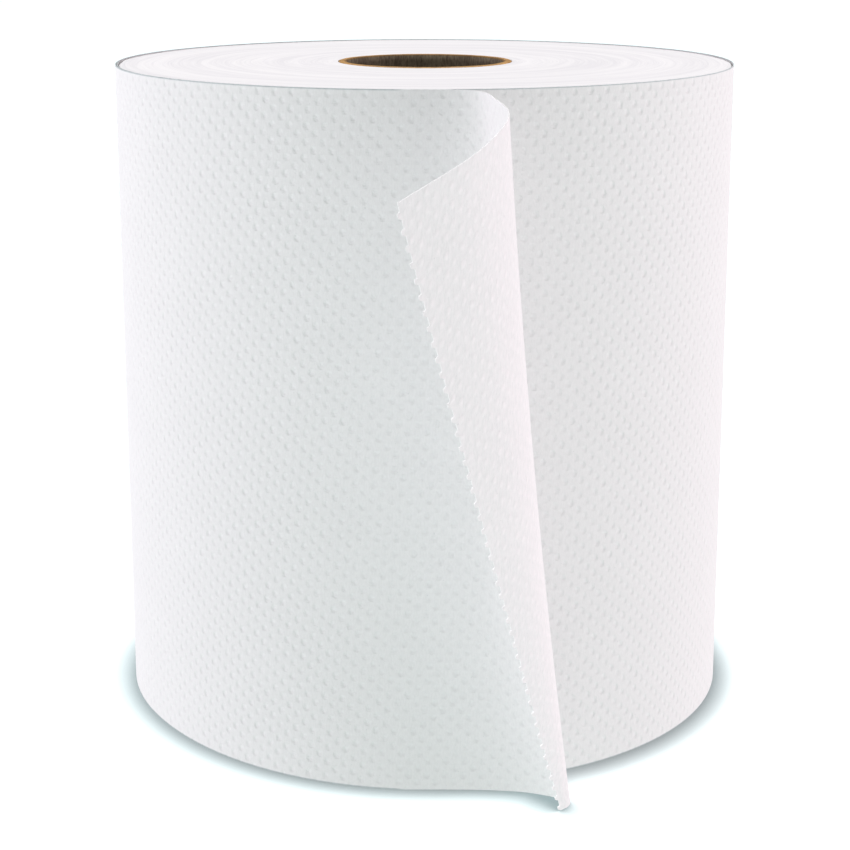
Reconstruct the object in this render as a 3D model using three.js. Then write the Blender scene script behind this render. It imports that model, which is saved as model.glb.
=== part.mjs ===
// Hardwound paper towel roll, standing on its end with its loose tail curling out of the front.
// Two physical pieces: the wound kraft core tube, and the towel web wound on it. The web is one
// length of paper, so the winding, its loose last turn and the tail are one solid.
// Millimetres, +Z up, front towards -Y. The base rests on z = 0 and the origin is the centre of the
// footprint of roll and tail together, so the roll's own axis stands behind it, on the line
// x = ROLL_AXIS_X, y = ROLL_AXIS_Y.

import * as THREE from 'three';

// Driving dimensions
const WEB_WIDTH = 203;          // an 8 inch web: the roll's height
const ROLL_RADIUS = 98.2;       // outside of the last turn
const CORE_OUTER_RADIUS = 27.7;
const CORE_INNER_RADIUS = 25;   // a 2 inch core, nominally
const WINDING_GAP = 0.3;        // air between the core and the first turn
const SHEET = 0.5;              // thickness of the last turn and the tail, emboss included
const ROLL_AXIS_X = 0.1;
const ROLL_AXIS_Y = 45;         // how far the roll's axis stands behind the footprint's centre

// The last turn is loose at its foot: it stands off the roll by up to LOOSE_FOOT at the base and
// not at all at the top, growing from LOOSE_START round to where the tail leaves the roll.
const LOOSE_FOOT = 3.6;
const LOOSE_START = THREE.MathUtils.degToRad(-62);
const TAIL_START = THREE.MathUtils.degToRad(-3);   // azimuth from the front, towards +X

// The tail is ruled between its two edges, given as points from the roll's axis. The top edge runs
// straight out to the front and turns over to the left, and drops as it turns. The bottom edge
// stands on the floor, close to the roll, and turns tightly at the end.
const TAIL_TOP = [
  [6.4, -97.9, 203],
  [14.2, -102.2, 203],
  [18.0, -121, 202.9],
  [20.2, -152, 201.2],
  [12.4, -171, 195.4],
  [-6.3, -188, 185.9],
];
const TAIL_BOTTOM = [
  [6.5, -101.4, 0],
  [19.0, -101.8, 0],
  [31.0, -103.7, 0],
  [41.5, -109.3, 0],
  [40.8, -112.2, 0],
  [38.7, -114.5, 0],
];
const TURN_BOW = 1.6;           // how far the tail's turn sags to the left at half height
const CUT_BOW = 5;              // how far its cut edge bows to the front at half height

// Facets
const ROUND_STEPS = 96;
const LEVELS = 12;
const TAIL_STEPS = 28;
const CORE_STEPS = 64;

const PAPER = new THREE.MeshStandardMaterial({ color: 0xf4f5f4, roughness: 0.95, metalness: 0 });
const KRAFT = new THREE.MeshStandardMaterial({ color: 0xb99d72, roughness: 0.9, metalness: 0 });

const onRoll = (azimuth, radius, z) =>
  new THREE.Vector3(radius * Math.sin(azimuth), -radius * Math.cos(azimuth), z);

// How far the loose last turn stands off the roll, at a height fraction v from base to top.
function standOff(azimuth, v) {
  const along = THREE.MathUtils.smoothstep(azimuth, LOOSE_START, 0);
  return LOOSE_FOOT * (1 - v) * along;
}

// One edge of the tail as a curve that starts on the roll, where the tail leaves it.
function edgeCurve(points, v) {
  const middleRadius = ROLL_RADIUS - SHEET / 2 + standOff(TAIL_START, v);
  const start = onRoll(TAIL_START, middleRadius, v * WEB_WIDTH);
  const rest = points.map((point) => new THREE.Vector3(...point));
  return new THREE.CatmullRomCurve3([start, ...rest], false, 'centripetal');
}

const topEdge = edgeCurve(TAIL_TOP, 1);
const bottomEdge = edgeCurve(TAIL_BOTTOM, 0);

// A point of the tail's middle surface: u runs from the roll to the cut edge, v from base to top.
function tailMiddle(u, v) {
  const point = bottomEdge.getPoint(u).lerp(topEdge.getPoint(u), v);
  const { smoothstep } = THREE.MathUtils;
  const halfHeight = 4 * v * (1 - v);
  const nearTurn = smoothstep(u, 0.2, 0.6) * (1 - smoothstep(u, 0.6, 1));
  point.x -= TURN_BOW * halfHeight * nearTurn;
  point.y -= CUT_BOW * halfHeight * smoothstep(u, 0.6, 1);
  return point;
}

// The outward normal of the tail's middle surface, on the side that faces away from the roll.
function tailNormal(u, v) {
  const step = 0.004;
  const low = Math.max(u - step, 0);
  const high = Math.min(u + step, 1);
  const alongWeb = tailMiddle(high, v).sub(tailMiddle(low, v));
  const upWeb = tailMiddle(u, Math.min(v + step, 1)).sub(tailMiddle(u, Math.max(v - step, 0)));
  return alongWeb.cross(upWeb).normalize();
}

function tailFace(u, v, side) {
  const offset = tailNormal(u, v).multiplyScalar(side * SHEET / 2);
  const point = tailMiddle(u, v).add(offset);
  point.z = v === 0 ? 0 : THREE.MathUtils.clamp(point.z, 0, WEB_WIDTH);
  return point;
}

// The outline of roll and tail at one height: once round the roll from the foot of the tail's inner
// face to the tail's root, out along its outer face to the cut edge, and back along its inner face.
function outline(v) {
  const z = v * WEB_WIDTH;
  const points = [];
  for (let i = 0; i < ROUND_STEPS; i += 1) {
    const share = i / ROUND_STEPS;
    const azimuth = TAIL_START + share * 2 * Math.PI;
    const wound = ROLL_RADIUS - SHEET * (1 - share);
    const loose = share > 0.5 ? standOff(azimuth - 2 * Math.PI, v) : 0;
    points.push(onRoll(azimuth, wound + loose, z));
  }
  points.push(onRoll(TAIL_START, ROLL_RADIUS + standOff(TAIL_START, v), z));
  for (let i = 1; i <= TAIL_STEPS; i += 1) points.push(tailFace(i / TAIL_STEPS, v, 1));
  for (let i = TAIL_STEPS; i >= 1; i -= 1) points.push(tailFace(i / TAIL_STEPS, v, -1));
  return points;
}

function boreRing(v) {
  const radius = CORE_OUTER_RADIUS + WINDING_GAP;
  return Array.from({ length: ROUND_STEPS }, (_, i) =>
    onRoll(TAIL_START + (i / ROUND_STEPS) * 2 * Math.PI, radius, v * WEB_WIDTH));
}

// Collects triangles, and turns them over where the surface must face the other way.
class Shell {
  constructor() {
    this.vertices = [];
    this.faces = [];
  }

  addRing(points) {
    const first = this.vertices.length / 3;
    for (const point of points) this.vertices.push(point.x, point.y, point.z);
    return points.map((_, i) => first + i);
  }

  triangle(a, b, c, flipped = false) {
    this.faces.push(...(flipped ? [a, c, b] : [a, b, c]));
  }

  quad(a, b, c, d, flipped = false) {
    this.triangle(a, b, c, flipped);
    this.triangle(a, c, d, flipped);
  }

  // A wall between two rings with the same number of points.
  wall(lower, upper, flipped = false) {
    const count = lower.length;
    for (let i = 0; i < count; i += 1) {
      const next = (i + 1) % count;
      this.quad(lower[i], lower[next], upper[next], upper[i], flipped);
    }
  }

  geometry() {
    const result = new THREE.BufferGeometry();
    result.setAttribute('position', new THREE.Float32BufferAttribute(this.vertices, 3));
    result.setIndex(this.faces);
    result.computeVertexNormals();
    return result;
  }
}

// The end of the roll and the edge of the tail at one height.
function endFace(shell, outer, bore, isTop) {
  const flipped = !isTop;
  const last = ROUND_STEPS - 1;
  for (let i = 0; i < last; i += 1) shell.quad(bore[i], outer[i], outer[i + 1], bore[i + 1], flipped);
  shell.triangle(bore[last], outer[last], bore[0], flipped);
  shell.triangle(outer[last], outer[0], bore[0], flipped);
  shell.triangle(outer[last], outer[ROUND_STEPS], outer[0], flipped);
  const outerFace = (i) => outer[ROUND_STEPS + i];
  const innerFace = (i) => (i === 0 ? outer[0] : outer[ROUND_STEPS + 2 * TAIL_STEPS + 1 - i]);
  for (let i = 0; i < TAIL_STEPS; i += 1) {
    shell.quad(outerFace(i), outerFace(i + 1), innerFace(i + 1), innerFace(i), flipped);
  }
}

function towelRoll() {
  const shell = new Shell();
  const outerRings = [];
  const boreRings = [];
  for (let level = 0; level <= LEVELS; level += 1) {
    outerRings.push(shell.addRing(outline(level / LEVELS)));
  }
  for (const v of [0, 1]) boreRings.push(shell.addRing(boreRing(v)));
  for (let level = 0; level < LEVELS; level += 1) shell.wall(outerRings[level], outerRings[level + 1]);
  shell.wall(boreRings[0], boreRings[1], true);
  endFace(shell, outerRings[0], boreRings[0], false);
  endFace(shell, outerRings[LEVELS], boreRings[1], true);
  const mesh = new THREE.Mesh(shell.geometry(), PAPER);
  mesh.name = 'towel_roll';
  return mesh;
}

function coreTube() {
  const wall = [
    new THREE.Vector2(CORE_INNER_RADIUS, 0),
    new THREE.Vector2(CORE_OUTER_RADIUS, 0),
    new THREE.Vector2(CORE_OUTER_RADIUS, WEB_WIDTH),
    new THREE.Vector2(CORE_INNER_RADIUS, WEB_WIDTH),
    new THREE.Vector2(CORE_INNER_RADIUS, 0),
  ];
  const mesh = new THREE.Mesh(new THREE.LatheGeometry(wall, CORE_STEPS), KRAFT);
  mesh.rotation.x = Math.PI / 2;
  mesh.name = 'core_tube';
  return mesh;
}

const paperTowelRoll = new THREE.Group();
paperTowelRoll.add(towelRoll(), coreTube());
paperTowelRoll.position.set(ROLL_AXIS_X, ROLL_AXIS_Y, 0);

export default paperTowelRoll;
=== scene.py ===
"""Paper towel roll standing on its end: kraft core, wound body, and the last turn with its loose tail."""
from math import cos, radians, sin, tau

import bpy
import numpy as np
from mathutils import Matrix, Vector


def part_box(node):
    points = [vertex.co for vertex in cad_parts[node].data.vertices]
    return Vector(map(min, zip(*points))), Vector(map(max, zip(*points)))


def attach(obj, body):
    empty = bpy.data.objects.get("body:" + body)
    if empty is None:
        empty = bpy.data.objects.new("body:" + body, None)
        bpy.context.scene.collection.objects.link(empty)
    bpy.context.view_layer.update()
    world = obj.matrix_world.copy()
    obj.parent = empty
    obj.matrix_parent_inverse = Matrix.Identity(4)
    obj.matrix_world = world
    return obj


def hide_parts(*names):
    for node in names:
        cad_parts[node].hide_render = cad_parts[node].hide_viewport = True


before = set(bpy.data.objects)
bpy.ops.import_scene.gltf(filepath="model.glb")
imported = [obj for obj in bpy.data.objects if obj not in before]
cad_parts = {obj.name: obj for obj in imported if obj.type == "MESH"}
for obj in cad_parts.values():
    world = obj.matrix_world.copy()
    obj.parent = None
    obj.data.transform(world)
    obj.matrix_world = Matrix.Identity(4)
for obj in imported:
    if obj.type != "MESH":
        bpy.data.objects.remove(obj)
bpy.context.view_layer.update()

# Sizes are in millimetres, and points are measured from the roll's own axis, up to put_in_place().
MM = 0.001

core_low, core_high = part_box("core_tube")
ROLL_AXIS = Vector(((core_low.x + core_high.x) / 2, (core_low.y + core_high.y) / 2, 0))
WEB_WIDTH = (core_high.z - core_low.z) / MM
CORE_OUTER_RADIUS = (core_high.x - core_low.x) / 2 / MM
CORE_INNER_RADIUS = CORE_OUTER_RADIUS - 2.7
CORE_CHAMFER = 0.35
CORE_ROUND_STEPS = 128
CORE_LEVELS = 110
ROLL_RADIUS = 98.2

# The wound body: everything between the core and the last turn.
BODY_BORE = CORE_OUTER_RADIUS + 0.15
BODY_RIM = ROLL_RADIUS - 2.4  # where its ends begin to fall away towards the last turn
RIM_DROP = 0.45  # how much lower its outermost turns sit than the last one
BODY_ROUND_STEPS = 192
BODY_LEVELS = 24
BODY_RINGS = 110

# The last turn and the tail. Azimuths run from the front towards the right.
TURN_STEP = 0.5  # how much one turn adds to the radius, with the air caught under it
PAPER = 0.26
TURN_GAP = 0.55  # between the wound body and the last turn
TAIL_START = radians(-3)
LOOSE_START = radians(-62)  # from here to the tail the last turn is loose
LOOSE_FOOT = 3.6  # how far it stands off the roll at its foot
OVERLAP = radians(84)  # how far the turn before the last one is made, under the last one
TURN_COLUMNS = 148
TAIL_COLUMNS = 60
# The tail's top and bottom edges, from the roll to the cut.
TAIL_TOP = [
    (6.4, -97.9, 203),
    (14.2, -102.2, 203),
    (18.0, -121, 202.9),
    (20.2, -152, 201.2),
    (12.4, -171, 195.4),
    (-6.3, -188, 185.9),
]
TAIL_BOTTOM = [
    (6.5, -101.4, 0),
    (19.0, -101.8, 0),
    (31.0, -103.7, 0),
    (41.5, -109.3, 0),
    (40.8, -112.2, 0),
    (38.7, -114.5, 0),
]
TURN_BOW = 1.6  # how far the tail's turn sags to the left at half height
CUT_BOW = 5  # how far its cut edge bows to the front at half height
TEETH = 46
TOOTH_HEIGHT = 1.0
TOOTH_ROWS = (0, 0.18, 0.42, 0.46)  # a tooth's foot, tip, tip and foot, as shares of the pitch

# The emboss: rows of dots square to the turn, each row shifted along from the last.
DOT_PITCH = 5.3
ROW_PITCH = 2.24
ROW_SHIFT = 2.88
DOT_RADIUS = 1.25
DOT_STRETCH = 1.25  # a dot is a little taller than wide
RIM_STRIP = 0.45  # the strip along the web's two edges that is darkened with painted shade

# Light. A panel has its azimuth and elevation in degrees, its power and its colour.
PANEL_DISTANCE = 1.6
PANEL_SIZE = 1.1
PANELS = [
    ("left_panel", -92, 8, 9.9, (1.0, 0.835, 0.967)),
    ("right_panel", 95, 8, 10.0, (1.0, 0.719, 0.824)),
]
# The overhead light: azimuth, elevation, strength and colour.
OVERHEAD = (-168, 87.7, 1.8, (1.0, 1.0, 1.0))
OVERHEAD_SPREAD = 3  # degrees
SKY = (0.469, 0.464, 0.462, 1)
FLOOR_GLOW = (0.951, 1.036, 1.015, 1)
FRONT_LOSS = 0.18  # how much less light comes from straight in front
FOOT_SHADE = 13.5  # how far from the roll's foot the floor carries painted shade, in millimetres


# --- Camera and light -----------------------------------------------------------------------------


def make_camera():
    """A long lens 62 cm in front of the roll's axis, a little above its top, looking down on it."""
    data = bpy.data.cameras.new("product_camera")
    data.lens = 81.56
    data.sensor_width = 36
    data.shift_y = -0.1086
    data.clip_start = 0.01
    camera = bpy.data.objects.new("product_camera", data)
    camera.location = ROLL_AXIS + Vector((0, -0.62017, 0.25248))
    camera.rotation_euler = (radians(90 - 12.61), 0, 0)
    bpy.context.scene.collection.objects.link(camera)
    bpy.context.scene.camera = camera


def add_light(name, kind, azimuth, elevation, strength, colour):
    """A light on the roll from an azimuth and an elevation in degrees. The light itself isn't seen."""
    data = bpy.data.lights.new(name, kind)
    data.energy = strength
    data.color = colour
    light = bpy.data.objects.new(name, data)
    turn, rise = radians(azimuth), radians(elevation)
    out = Vector((sin(turn) * cos(rise), -cos(turn) * cos(rise), sin(rise)))
    light.location = ROLL_AXIS + Vector((0, 0, WEB_WIDTH * MM / 2)) + out * PANEL_DISTANCE
    light.rotation_euler = (-out).to_track_quat("-Z", "Y").to_euler()
    light.visible_camera = False
    bpy.context.scene.collection.objects.link(light)
    return light


def light_the_roll(shadow_makers):
    """A soft panel on each side, slightly behind the roll, and one small light far overhead.
    The overhead light gives the close shadow at the right of the foot, which only the roll itself makes."""
    for name, azimuth, elevation, strength, colour in PANELS:
        panel = add_light(name, "AREA", azimuth, elevation, strength, colour)
        panel.data.size = PANEL_SIZE
    overhead = add_light("overhead", "SUN", *OVERHEAD)
    overhead.data.angle = radians(OVERHEAD_SPREAD)
    blockers = bpy.data.collections.new("shadow_makers")
    for piece in shadow_makers:
        blockers.objects.link(piece)
    overhead.light_linking.blocker_collection = blockers


def light_tent():
    """A pale sky above, dimmer in front, and from below the blue-green light that the floor throws back."""
    world = bpy.data.worlds.new("light_tent")
    world.use_nodes = True
    tree = world.node_tree
    tree.nodes.clear()
    put = Nodes(tree)
    direction = put("ShaderNodeTexCoord").outputs["Generated"]
    parts = put("ShaderNodeSeparateXYZ", Vector=direction)
    dimmer = tuple(part * (1 - FRONT_LOSS) for part in SKY[:3]) + (1,)
    sky = put.blend(put.ramp(parts.outputs["Y"], -0.95, -0.4), dimmer, SKY)
    colour = put.blend(put.ramp(parts.outputs["Z"], -0.08, 0.0), FLOOR_GLOW, sky)
    background = put("ShaderNodeBackground", Color=colour)
    out = put("ShaderNodeOutputWorld")
    tree.links.new(background.outputs[0], out.inputs["Surface"])
    bpy.context.scene.world = world


# --- Node trees -----------------------------------------------------------------------------------


class Nodes:
    """Puts nodes in a tree. An input is given by name, as a value or as the output that feeds it."""

    def __init__(self, tree):
        self.tree = tree

    def feed(self, socket, value):
        if isinstance(value, bpy.types.NodeSocket):
            self.tree.links.new(value, socket)
        else:
            socket.default_value = value

    def __call__(self, kind, settings=None, **inputs):
        node = self.tree.nodes.new(kind)
        for name, value in (settings or {}).items():
            setattr(node, name, value)
        for name, value in inputs.items():
            self.feed(node.inputs[name.replace("_", " ")], value)
        return node

    def math(self, operation, *values):
        node = self.tree.nodes.new("ShaderNodeMath")
        node.operation = operation
        for socket, value in zip(node.inputs, values):
            self.feed(socket, value)
        return node.outputs[0]

    def vector(self, operation, *values, scale=None, out=0):
        node = self.tree.nodes.new("ShaderNodeVectorMath")
        node.operation = operation
        for socket, value in zip(node.inputs, values):
            self.feed(socket, value)
        if scale is not None:
            self.feed(node.inputs["Scale"], scale)
        return node.outputs[out]

    def ramp(self, value, low, high, to_low=0.0, to_high=1.0, smooth=True):
        node = self.tree.nodes.new("ShaderNodeMapRange")
        node.interpolation_type = "SMOOTHSTEP" if smooth else "LINEAR"
        for socket, number in zip(node.inputs, (value, low, high, to_low, to_high)):
            self.feed(socket, number)
        return node.outputs[0]

    def blend(self, share, first, second):
        """Two colours mixed."""
        node = self.tree.nodes.new("ShaderNodeMix")
        node.data_type = "RGBA"
        self.feed(node.inputs[0], share)
        self.feed(node.inputs[6], first)
        self.feed(node.inputs[7], second)
        return node.outputs[2]

    def noise(self, coordinates, scale, detail=2.0, roughness=0.5):
        numbers = {"Scale": scale, "Detail": detail, "Roughness": roughness}
        return self("ShaderNodeTexNoise", Vector=coordinates, **numbers).outputs[0]


def new_material(name):
    """An empty material, its node maker and its Principled shader."""
    material = bpy.data.materials.new(name)
    material.use_nodes = True
    tree = material.node_tree
    tree.nodes.clear()
    put = Nodes(tree)
    shader = put("ShaderNodeBsdfPrincipled")
    out = put("ShaderNodeOutputMaterial")
    tree.links.new(shader.outputs[0], out.inputs["Surface"])
    return material, put, shader


def dot_height(put, web):
    """How deep the emboss is at a place on the web: 0 between the dots, and up to 1 at a dot's middle."""
    parts = put("ShaderNodeSeparateXYZ", Vector=web)
    along = parts.outputs["X"]
    row = put.math("DIVIDE", parts.outputs["Y"], ROW_PITCH * MM)
    near_row = put.math("ROUND", row)
    shifted = put.math("SUBTRACT", along, put.math("MULTIPLY", near_row, ROW_SHIFT * MM))
    place = put.math("DIVIDE", shifted, DOT_PITCH * MM)
    near_dot = put.math("ROUND", place)
    off_along = put.math("MULTIPLY", put.math("SUBTRACT", place, near_dot), DOT_PITCH * MM)
    off_across = put.math("MULTIPLY", put.math("SUBTRACT", row, near_row), ROW_PITCH / DOT_STRETCH * MM)
    off = put("ShaderNodeCombineXYZ", X=off_along, Y=off_across)
    distance = put.vector("LENGTH", off.outputs[0], out=1)
    which = put("ShaderNodeCombineXYZ", X=near_dot, Y=near_row)
    chance = put("ShaderNodeTexWhiteNoise", {"noise_dimensions": "2D"}, Vector=which.outputs[0]).outputs[0]
    rough_rim = put.math("MULTIPLY", put.math("SUBTRACT", put.noise(web, 1300, 2.0), 0.5), 0.7 * MM)
    pit = put.ramp(put.math("ADD", distance, rough_rim), 0.0, DOT_RADIUS * MM, 1.0, 0.0)
    return put.math("MULTIPLY", pit, put.ramp(chance, 0.0, 1.0, 0.65, 1.0, smooth=False))


def painted_edge_shade(put, web):
    """How much painted shade darkens the web next to its two edges, up to where the tail leaves the roll.
    """
    parts = put("ShaderNodeSeparateXYZ", Vector=web)
    half = WEB_WIDTH / 2
    to_middle = put.math("ABSOLUTE", put.math("SUBTRACT", parts.outputs["Y"], half * MM))
    edge_shade = put.ramp(to_middle, (half - RIM_STRIP) * MM, (half - 0.1) * MM, 0.0, 0.8)
    return put.math("MULTIPLY", edge_shade, put.ramp(parts.outputs["X"], -4 * MM, 0.0, 1.0, 0.0))


def towel_material(name, outside):
    """Soft white embossed paper. The dots are pressed in on the outside, so they stand up on the inside."""
    material, put, shader = new_material(name)
    web = put("ShaderNodeUVMap", {"uv_map": "web"}).outputs[0]
    dots = dot_height(put, web)
    crepe_place = put.vector("MULTIPLY", web, (1.0, 0.35, 1.0))
    crepe = put.noise(crepe_place, 1900, 3.0, 0.6)
    fibres = put.noise(web, 900, 4.0, 0.65)
    clouds = put.noise(web, 55, 2.0)
    grain_shade = put.math("MULTIPLY", put.ramp(crepe, 0.3, 0.7), 0.6)
    shade = put.math("ADD", put.math("MULTIPLY", clouds, 0.4), grain_shade)
    darkest = (0.88, 0.885, 0.885, 1) if outside else (0.855, 0.855, 0.86, 1)
    white = put.blend(shade, darkest, (0.955, 0.96, 0.96, 1))
    # painted shade: the outside's pressed-in dots are darkened in their hollows
    dot_shade = put.math("MULTIPLY", dots, 0.25 if outside else 0.0)
    tint = put.blend(dot_shade, white, (0.835, 0.86, 0.865, 1))
    edge_shade = painted_edge_shade(put, web)
    if not outside:
        streak_place = put.vector("MULTIPLY", web, (1.0, 0.3, 1.0))
        streaks = put.ramp(put.noise(streak_place, 1100, 2.0, 0.5), 0.36, 0.64)
        # painted highlight: the inside's streaks and raised dots are made lighter
        inside_highlight = put.math("ADD", put.math("MULTIPLY", streaks, 0.5), put.math("MULTIPLY", dots, 0.6))
        tint = put.blend(inside_highlight, tint, (0.98, 0.96, 0.97, 1))
    # painted shade: a dark blue-grey line along the last turn's top and bottom edges
    tint = put.blend(edge_shade, tint, (0.5, 0.57, 0.58, 1))
    specks = put.ramp(put.noise(web, 1100, 1.0), 0.74, 0.8, 0.0, 0.35)
    put.feed(shader.inputs["Base Color"], put.blend(specks, tint, (0.62, 0.65, 0.65, 1)))
    put.feed(shader.inputs["Roughness"], put.ramp(fibres, 0.3, 0.7, 0.86, 0.97))
    shader.inputs["Specular IOR Level"].default_value = 0.15
    relief = put.math("MULTIPLY", dots, -0.95 if outside else 0.45)
    grain = put.math("ADD", put.math("MULTIPLY", crepe, 0.16), put.math("MULTIPLY", fibres, 0.12))
    height = put.math("ADD", relief, grain)
    bump = put("ShaderNodeBump", Strength=1.0, Distance=0.26 * MM, Height=height)
    put.feed(shader.inputs["Normal"], bump.outputs[0])
    return material


def roll_radius(put):
    """Object coordinates from the roll's axis: the place, its distance from the axis, and its flat part."""
    place = put("ShaderNodeTexCoord").outputs["Object"]
    centred = put("ShaderNodeMapping", Vector=place)
    centred.inputs["Location"].default_value = -ROLL_AXIS
    parts = put("ShaderNodeSeparateXYZ", Vector=centred.outputs[0])
    flat = put("ShaderNodeCombineXYZ", X=parts.outputs["X"], Y=parts.outputs["Y"])
    return centred.outputs[0], put.vector("LENGTH", flat.outputs[0], out=1), flat.outputs[0]


def turn_edges_material():
    """The roll's ends: hundreds of cut paper edges, in fine rings that waver a little."""
    material, put, shader = new_material("towel_edges")
    centred, radius, flat = roll_radius(put)
    waver = put.math("MULTIPLY", put.math("SUBTRACT", put.noise(flat, 30, 2.0), 0.5), 1.6 * MM)
    ring = put.math("ADD", radius, waver)
    heading = put.vector("NORMALIZE", flat)
    around = put.vector("SCALE", heading, scale=0.0016)
    ring_place = put.vector("ADD", around, put("ShaderNodeCombineXYZ", Z=ring).outputs[0])
    fine = put.noise(ring_place, 1700, 3.0, 0.6)
    broad = put.noise(ring_place, 260, 2.0, 0.5)
    lint = put.noise(centred, 1500, 2.0, 0.6)
    shade = put.math("ADD", put.math("MULTIPLY", fine, 0.5), put.math("MULTIPLY", broad, 0.5))
    colour = put.blend(put.ramp(shade, 0.35, 0.65), (0.78, 0.775, 0.795, 1), (0.875, 0.87, 0.88, 1))
    put.feed(shader.inputs["Base Color"], colour)
    put.feed(shader.inputs["Roughness"], put.ramp(lint, 0.3, 0.7, 0.88, 0.98))
    shader.inputs["Specular IOR Level"].default_value = 0.12
    height = put.math("ADD", fine, put.math("MULTIPLY", lint, 0.3))
    bump = put("ShaderNodeBump", Strength=0.7, Distance=0.2 * MM, Height=height)
    put.feed(shader.inputs["Normal"], bump.outputs[0])
    return material


def kraft_material(name, dark, light):
    """Wound grey-brown board, with short fibres down its face, and painted shade that darkens it where its
    end meets the bore and over the bore's wall.
    """
    material, put, shader = new_material(name)
    centred, radius, _ = roll_radius(put)
    streak_place = put.vector("MULTIPLY", centred, (1.0, 1.0, 0.28))
    streaks = put.noise(streak_place, 1700, 4.0, 0.65)
    mottle = put.noise(centred, 160, 3.0, 0.6)
    flecks = put.ramp(put.noise(streak_place, 1500, 2.0, 0.7), 0.62, 0.72)
    shade = put.math("ADD", put.math("MULTIPLY", streaks, 0.65), put.math("MULTIPLY", mottle, 0.35))
    board = put.blend(put.ramp(shade, 0.36, 0.64), dark, light)
    colour = put.blend(put.math("MULTIPLY", flecks, 0.4), board, (0.09, 0.06, 0.035, 1))
    # painted shade: near-black towards the bore's edge, and most of the way to it over the whole bore wall
    cut = put.ramp(radius, (CORE_INNER_RADIUS + 0.1) * MM, (CORE_INNER_RADIUS + 1.3) * MM, 0.35, 1.0)
    put.feed(shader.inputs["Base Color"], put.blend(cut, (0.05, 0.03, 0.015, 1), colour))
    put.feed(shader.inputs["Roughness"], put.ramp(mottle, 0.3, 0.7, 0.78, 0.92))
    shader.inputs["Specular IOR Level"].default_value = 0.25
    bump = put("ShaderNodeBump", Strength=0.6, Distance=0.15 * MM, Height=shade)
    put.feed(shader.inputs["Normal"], bump.outputs[0])
    return material


def floor_material():
    """White board, with painted shade close to whatever stands on it."""
    material, put, shader = new_material("white_floor")
    place = put("ShaderNodeTexCoord").outputs["Object"]
    grain = put.noise(place, 40, 2.0)
    white = put.blend(grain, (0.80, 0.92, 0.925, 1), (0.81, 0.93, 0.935, 1))
    # painted shade: the floor's colour turns blue-grey where nearby pieces hem it in, a painted contact
    # shadow
    openness = put("ShaderNodeAmbientOcclusion", {"samples": 16}, Distance=FOOT_SHADE * MM).outputs["AO"]
    clear = put.ramp(openness, 0.45, 0.93, smooth=False)
    put.feed(shader.inputs["Base Color"], put.blend(clear, (0.12, 0.2, 0.21, 1), white))
    shader.inputs["Emission Color"].default_value = (1.0, 0.93, 0.93, 1)
    shader.inputs["Emission Strength"].default_value = 0.2
    put.feed(shader.inputs["Roughness"], put.ramp(grain, 0.3, 0.7, 0.8, 0.9))
    shader.inputs["Specular IOR Level"].default_value = 0.1
    bump = put("ShaderNodeBump", Strength=0.02, Distance=0.001, Height=grain)
    put.feed(shader.inputs["Normal"], bump.outputs[0])
    return material


# --- Meshes ---------------------------------------------------------------------------------------


def put_in_place(points):
    """Points from the roll's axis in millimetres, as points of the part in metres."""
    return np.asarray(points, float) * MM + np.array(ROLL_AXIS)


def new_piece(name, points, faces, materials, second_finish=()):
    """A mesh piece. second_finish says of each face whether it takes the second material."""
    mesh = bpy.data.meshes.new(name)
    mesh.from_pydata(put_in_place(points).tolist(), [], faces)
    for material in materials:
        mesh.materials.append(material)
    if second_finish:
        mesh.attributes.new("second_finish", "BOOLEAN", "FACE").data.foreach_set("value", second_finish)
    mesh.shade_smooth()
    mesh.update()
    piece = bpy.data.objects.new(name, mesh)
    bpy.context.scene.collection.objects.link(piece)
    return piece


def grid_faces(columns, rows, wrap_columns=False, wrap_rows=False):
    """Four-sided faces between the points of a grid, numbered column by column."""
    faces = []
    for column in range(columns if wrap_columns else columns - 1):
        after = (column + 1) % columns
        for row in range(rows if wrap_rows else rows - 1):
            above = (row + 1) % rows
            here, there = column * rows, after * rows
            faces.append((here + row, there + row, there + above, here + above))
    return faces


def smoothstep(value, low, high):
    share = np.clip((np.asarray(value, float) - low) / (high - low), 0, 1)
    return share * share * (3 - 2 * share)


def stand_off(azimuth, height_share):
    """How far the last turn stands off the roll, which is most at its foot and next to the tail."""
    return LOOSE_FOOT * (1 - height_share) * smoothstep(azimuth, LOOSE_START, 0)


def on_roll(azimuth, radius, height):
    return np.array([radius * np.sin(azimuth), -radius * np.cos(azimuth), height])


def smooth_curve(points, shares):
    """Points on the centripetal curve through points, at shares of its run from 0 to 1."""
    points = np.asarray(points, float)
    ends = [2 * points[0] - points[1]], [2 * points[-1] - points[-2]]
    padded = np.concatenate([ends[0], points, ends[1]])
    found = []
    for share in shares:
        span = min(int(share * (len(points) - 1)), len(points) - 2)
        t = share * (len(points) - 1) - span
        before, start, end, after = padded[span : span + 4]
        gaps = [np.sqrt(np.linalg.norm(b - a)) for a, b in ((before, start), (start, end), (end, after))]
        leave = (start - before) / gaps[0] - (end - before) / (gaps[0] + gaps[1]) + (end - start) / gaps[1]
        arrive = (end - start) / gaps[1] - (after - start) / (gaps[1] + gaps[2]) + (after - end) / gaps[2]
        leave, arrive = leave * gaps[1], arrive * gaps[1]
        found.append(
            (2 * t**3 - 3 * t**2 + 1) * start
            + (t**3 - 2 * t**2 + t) * leave
            + (3 * t**2 - 2 * t**3) * end
            + (t**3 - t**2) * arrive
        )
    return np.array(found)


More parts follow.
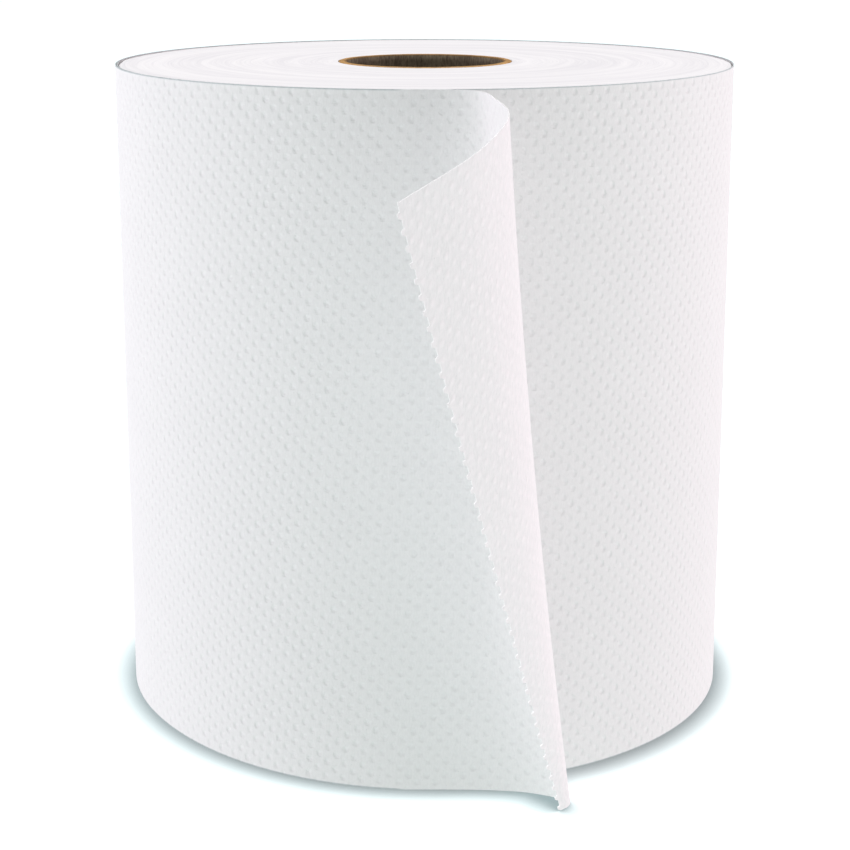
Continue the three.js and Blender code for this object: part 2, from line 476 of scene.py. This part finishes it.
def towel_grid():
    """The web's middle surface, column by column from under the last turn to the cut edge."""
    tooth = np.arange(TEETH)[:, None] + np.array(TOOTH_ROWS)[None]
    levels = np.append(tooth.ravel() / TEETH, 1.0)
    middle_radius = ROLL_RADIUS - TURN_STEP / 2
    columns = []
    travel = []
    for back in np.linspace(tau + OVERLAP, 0, TURN_COLUMNS, endpoint=False):
        azimuth = TAIL_START - back
        radius = middle_radius - TURN_STEP * back / tau + stand_off(azimuth, levels)
        columns.append(on_roll(azimuth, radius, 0 * radius + levels * WEB_WIDTH).T)
        travel.append(np.full(len(levels), -back * middle_radius))
    shares = np.linspace(0, 1, TAIL_COLUMNS)
    edges = []
    for height_share, points in ((0, TAIL_BOTTOM), (1, TAIL_TOP)):
        root_radius = middle_radius + stand_off(TAIL_START, height_share)
        root = on_roll(TAIL_START, root_radius, height_share * WEB_WIDTH)
        edges.append(smooth_curve([root, *points], shares))
    for share, low, high in zip(shares, *edges):
        column = low + levels[:, None] * (high - low)
        half_height = 4 * levels * (1 - levels)
        near_cut = smoothstep(share, 0.6, 1)
        near_turn = smoothstep(share, 0.2, 0.6) * (1 - near_cut)
        column[:, 0] -= TURN_BOW * half_height * near_turn
        column[:, 1] -= CUT_BOW * half_height * near_cut
        column[:, 2] = np.clip(column[:, 2], 0, WEB_WIDTH)
        step = np.linalg.norm(column - columns[-1], axis=1) if share > 0 else 0 * levels
        columns.append(column)
        travel.append(step if share == 0 else travel[-1] + step)
    return np.array(columns), np.array(travel), levels


# --- Geometry Nodes -------------------------------------------------------------------------------


class PieceTree:
    """A Geometry Nodes tree with named number inputs, which starts from the object's own mesh."""

    def __init__(self, name, **numbers):
        self.tree = bpy.data.node_groups.new(name, "GeometryNodeTree")
        self.tree.interface.new_socket("Geometry", in_out="INPUT", socket_type="NodeSocketGeometry")
        self.tree.interface.new_socket("Geometry", in_out="OUTPUT", socket_type="NodeSocketGeometry")
        self.numbers = numbers
        self.sockets = {}
        for label in numbers:
            kind = "NodeSocketInt" if isinstance(numbers[label], int) else "NodeSocketFloat"
            self.sockets[label] = self.tree.interface.new_socket(label, in_out="INPUT", socket_type=kind)
        self.put = Nodes(self.tree)
        self.inputs = self.tree.nodes.new("NodeGroupInput")
        self.start = self.inputs.outputs[0]

    def number(self, label):
        return self.inputs.outputs[label]

    def attribute(self, name, kind="FLOAT"):
        node = self.put("GeometryNodeInputNamedAttribute", {"data_type": kind}, Name=name)
        return node.outputs[0]

    def move(self, geometry, offset):
        return self.put("GeometryNodeSetPosition", Geometry=geometry, Offset=offset).outputs[0]

    def by_kind(self, piece):
        """Both of a piece's materials: the second goes on the faces whose second_finish is true."""
        first, second = piece.data.materials
        return [(first, True), (second, self.attribute("second_finish", "BOOLEAN"))]

    def finish(self, geometry, piece, materials):
        """Ends the tree and puts it on the piece. materials gives each finish with the faces it goes on."""
        made = self.put("GeometryNodeRealizeInstances", Geometry=geometry).outputs[0]
        for material, faces in materials:
            painted = self.put("GeometryNodeSetMaterial", Geometry=made, Selection=faces, Material=material)
            made = painted.outputs[0]
        out = self.tree.nodes.new("NodeGroupOutput")
        self.tree.links.new(made, out.inputs[0])
        modifier = piece.modifiers.new(self.tree.name, "NODES")
        modifier.node_group = self.tree
        for label, socket in self.sockets.items():
            modifier[socket.identifier] = self.numbers[label]


def make_plain(piece):
    """Turns a piece with its modifiers into a plain mesh of the same name."""
    graph = bpy.context.evaluated_depsgraph_get()
    shape = piece.evaluated_get(graph)
    mesh = bpy.data.meshes.new_from_object(shape, preserve_all_data_layers=True, depsgraph=graph)
    piece.modifiers.clear()
    piece.data = mesh
    mesh.name = piece.name


def cut_teeth(piece):
    """The cut edge's teeth: the tip rows of the edge are drawn out along the paper."""
    numbers = {"Tooth pitch": WEB_WIDTH / TEETH * MM, "Tooth height": TOOTH_HEIGHT * MM}
    tree = PieceTree("Toothed cut", **numbers)
    put = tree.put
    place = put.math("DIVIDE", tree.attribute("across"), tree.number("Tooth pitch"))
    phase = put.math("FRACT", place)
    foot, tip, last_tip, last_foot = TOOTH_ROWS
    above = put.math("GREATER_THAN", phase, (foot + tip) / 2)
    on_tooth = put.math("MULTIPLY", above, put.math("LESS_THAN", phase, (last_tip + last_foot) / 2))
    at_edge = put.math("LESS_THAN", tree.attribute("to_cut"), 0.3 * MM)
    reach = put.math("MULTIPLY", put.math("MULTIPLY", on_tooth, at_edge), tree.number("Tooth height"))
    offset = put.vector("SCALE", tree.attribute("heading", "FLOAT_VECTOR"), scale=reach)
    tree.finish(tree.move(tree.start, offset), piece, [(piece.data.materials[0], True)])


def lay_turns(piece):
    """The wound turns' edges: rings of slightly different height that waver round the roll."""
    numbers = {"Step height": 0.35 * MM, "Ring pitch": 2.2 * MM, "Waver": 0.9, "Seed": 7}
    tree = PieceTree("Turn edges", **numbers)
    put = tree.put
    place = put("GeometryNodeInputPosition").outputs[0]
    from_axis = put.vector("MULTIPLY", put.vector("SUBTRACT", place, tuple(ROLL_AXIS)), (1, 1, 0))
    radius = put.vector("LENGTH", from_axis, out=1)
    heading = put.vector("SCALE", put.vector("NORMALIZE", from_axis), scale=tree.number("Waver"))
    ring = put.math("DIVIDE", radius, tree.number("Ring pitch"))
    where = put.vector("ADD", heading, put("ShaderNodeCombineXYZ", Z=ring).outputs[0])
    settings = {"noise_dimensions": "4D"}
    seed = tree.number("Seed")
    layers = put("ShaderNodeTexNoise", settings, Vector=where, W=seed, Scale=1.0, Detail=2.0)
    sunk = put.math("MULTIPLY", layers.outputs[0], tree.number("Step height"))
    end = tree.attribute("end")
    offset = put("ShaderNodeCombineXYZ", Z=put.math("MULTIPLY", put.math("MULTIPLY", sunk, end), -1))
    tree.finish(tree.move(tree.start, offset.outputs[0]), piece, tree.by_kind(piece))


def wind_plies(piece):
    """The core's inner ply: its edges butt along a helix, and leave a shallow groove."""
    numbers = {"Ply lead": 62 * MM, "Groove width": 1.1 * MM, "Groove depth": 0.22 * MM}
    tree = PieceTree("Wound plies", **numbers)
    put = tree.put
    lead = tree.number("Ply lead")
    place = put("GeometryNodeInputPosition").outputs[0]
    centred = put.vector("SUBTRACT", place, tuple(ROLL_AXIS))
    parts = put("ShaderNodeSeparateXYZ", Vector=centred)
    turned = put.math("DIVIDE", put.math("ARCTAN2", parts.outputs["Y"], parts.outputs["X"]), tau)
    phase = put.math("FRACT", put.math("SUBTRACT", put.math("DIVIDE", parts.outputs["Z"], lead), turned))
    off_seam = put.math("MULTIPLY", put.math("ABSOLUTE", put.math("SUBTRACT", phase, 0.5)), lead)
    groove = put.ramp(off_seam, 0.0, tree.number("Groove width"), 1.0, 0.0)
    outward = put.vector("NORMALIZE", put.vector("MULTIPLY", centred, (1, 1, 0)))
    in_bore = put.math("MULTIPLY", groove, tree.attribute("bore"))
    depth = put.math("MULTIPLY", in_bore, tree.number("Groove depth"))
    grooved = tree.move(tree.start, put.vector("SCALE", outward, scale=depth))
    tree.finish(grooved, piece, tree.by_kind(piece))


def point_values(piece, name, values):
    values = np.asarray(values, float)
    kind = "FLOAT_VECTOR" if values.ndim == 2 else "FLOAT"
    layer = piece.data.attributes.new(name, kind, "POINT")
    layer.data.foreach_set("vector" if values.ndim == 2 else "value", values.ravel())


def web_map(piece, along, across):
    """A UV map of the web in metres: along it from the tail's root, and up from its lower edge."""
    mesh = piece.data
    corners = np.empty(len(mesh.loops), int)
    mesh.loops.foreach_get("vertex_index", corners)
    layer = mesh.uv_layers.new(name="web")
    layer.uv.foreach_set("vector", np.column_stack([along, across])[corners].astype(np.float32).ravel())


# --- Pieces ---------------------------------------------------------------------------------------


def towel_sheet():
    """The last turn of towel and its loose tail, one sheet with a toothed cut edge."""
    columns, travel, levels = towel_grid()
    count, rows = travel.shape
    faces = grid_faces(count, rows)
    materials = [towel_material("towel_outside", True), towel_material("towel_inside", False)]
    piece = new_piece("towel_sheet", columns.reshape(-1, 3), faces, materials)
    across = np.tile(levels * WEB_WIDTH, count)
    web_map(piece, travel.ravel() * MM, across * MM)
    heading = np.zeros_like(columns)
    heading[-1] = columns[-1] - columns[-2]
    heading[-1] /= np.linalg.norm(heading[-1], axis=1)[:, None]
    point_values(piece, "across", across * MM)
    point_values(piece, "to_cut", (travel[-1] - travel).ravel() * MM)
    point_values(piece, "heading", heading.reshape(-1, 3))
    cut_teeth(piece)
    thickness = piece.modifiers.new("Paper thickness", "SOLIDIFY")
    thickness.thickness = PAPER * MM
    thickness.offset = 0
    thickness.material_offset = 1
    make_plain(piece)
    piece.data.set_sharp_from_angle(angle=radians(50))
    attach(piece, "root")
    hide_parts("towel_roll")


def body_radius(azimuth):
    """The wound body's radius, which leaves room for the plies outside it."""
    back = (TAIL_START - azimuth) % tau
    last_ply = ROLL_RADIUS - TURN_STEP / 2 - TURN_STEP * back / tau
    plies = 1 + (back < OVERLAP + radians(4))
    return last_ply - TURN_STEP * (plies - 1) - PAPER / 2 - TURN_GAP


def ring_piece(name, profile, segments, materials, outer_radius=None):
    """A ring round the roll's axis. profile is a closed loop of (radius, height, material), where a radius
    of None stands for outer_radius at each azimuth."""
    columns = []
    for azimuth in np.arange(segments) / segments * tau:
        for radius, height, _ in profile:
            columns.append(on_roll(azimuth, outer_radius(azimuth) if radius is None else radius, height))
    faces = grid_faces(segments, len(profile), True, True)
    second_finish = [bool(kind) for _ in range(segments) for _, _, kind in profile]
    return new_piece(name, columns, faces, materials, second_finish)


def wound_body():
    """Everything wound between the core and the last turn."""
    top = WEB_WIDTH - RIM_DROP
    radii = np.linspace(BODY_RIM, BODY_BORE, BODY_RINGS)
    profile = [(None, height, 0) for height in np.linspace(0, top, BODY_LEVELS)[:-1]]
    profile += [(None, top, 1)]
    profile += [(radius, WEB_WIDTH, 1) for radius in radii[:-1]]
    profile += [(BODY_BORE, WEB_WIDTH, 0), (BODY_BORE, 0, 1)]
    profile += [(radius, 0, 1) for radius in radii[::-1][1:]]
    materials = [towel_material("towel_wound", True), turn_edges_material()]
    segments = BODY_ROUND_STEPS
    piece = ring_piece("wound_body", profile, segments, materials, body_radius)
    end = [0 if radius is None else (1 if height > 0 else -1) for radius, height, _ in profile]
    point_values(piece, "end", np.tile(end, segments))
    girth = np.tile([radius or ROLL_RADIUS for radius, _, _ in profile], segments)
    turned = np.repeat(np.arange(segments) / segments, len(profile))
    rise = np.tile([height for _, height, _ in profile], segments)
    web_map(piece, turned * tau * girth * MM, rise * MM)
    lay_turns(piece)
    make_plain(piece)
    piece.data.set_sharp_from_angle(angle=radians(50))
    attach(piece, "root")
    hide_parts("towel_roll")
    return piece


def kraft_core():
    """The wound board tube, with its cut end ring lighter than its bore."""
    edge, top = CORE_CHAMFER, WEB_WIDTH
    outer, inner = CORE_OUTER_RADIUS, CORE_INNER_RADIUS
    across = (outer - edge, (outer + inner) / 2, inner + edge)
    profile = [(outer, height, 0) for height in np.linspace(edge, top - edge, 12)]
    profile += [(radius, top, 0) for radius in across]
    profile += [(inner, height, 1) for height in np.linspace(top - edge, edge, CORE_LEVELS)]
    profile += [(radius, 0, 0) for radius in reversed(across)]
    materials = [
        kraft_material("kraft_ends", (0.30, 0.165, 0.055, 1), (0.62, 0.36, 0.13, 1)),
        kraft_material("kraft_bore", (0.20, 0.165, 0.11, 1), (0.60, 0.52, 0.37, 1)),
    ]
    segments = CORE_ROUND_STEPS
    piece = ring_piece("kraft_core", profile, segments, materials)
    point_values(piece, "bore", np.tile([float(kind) for _, _, kind in profile], segments))
    wind_plies(piece)
    make_plain(piece)
    piece.data.set_sharp_from_angle(angle=radians(50))
    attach(piece, "root")
    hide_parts("core_tube")
    return piece


def white_floor():
    """A floor that reaches far past the roll. It throws no light back and makes no shadow itself, because
    the light tent's lower half stands for the light that comes up from it."""
    mesh = bpy.data.meshes.new("white_floor")
    half = 15.0
    corners = [(-half, -half, 0), (half, -half, 0), (half, half, 0), (-half, half, 0)]
    mesh.from_pydata(corners, [], [(0, 1, 2, 3)])
    mesh.materials.append(floor_material())
    floor = bpy.data.objects.new("white_floor", mesh)
    bpy.context.scene.collection.objects.link(floor)
    floor.visible_diffuse = False
    floor.visible_shadow = False


bpy.context.scene.view_settings.view_transform = "Standard"
make_camera()
light_tent()
white_floor()
core = kraft_core()
body = wound_body()
towel_sheet()
light_the_roll([core, body])
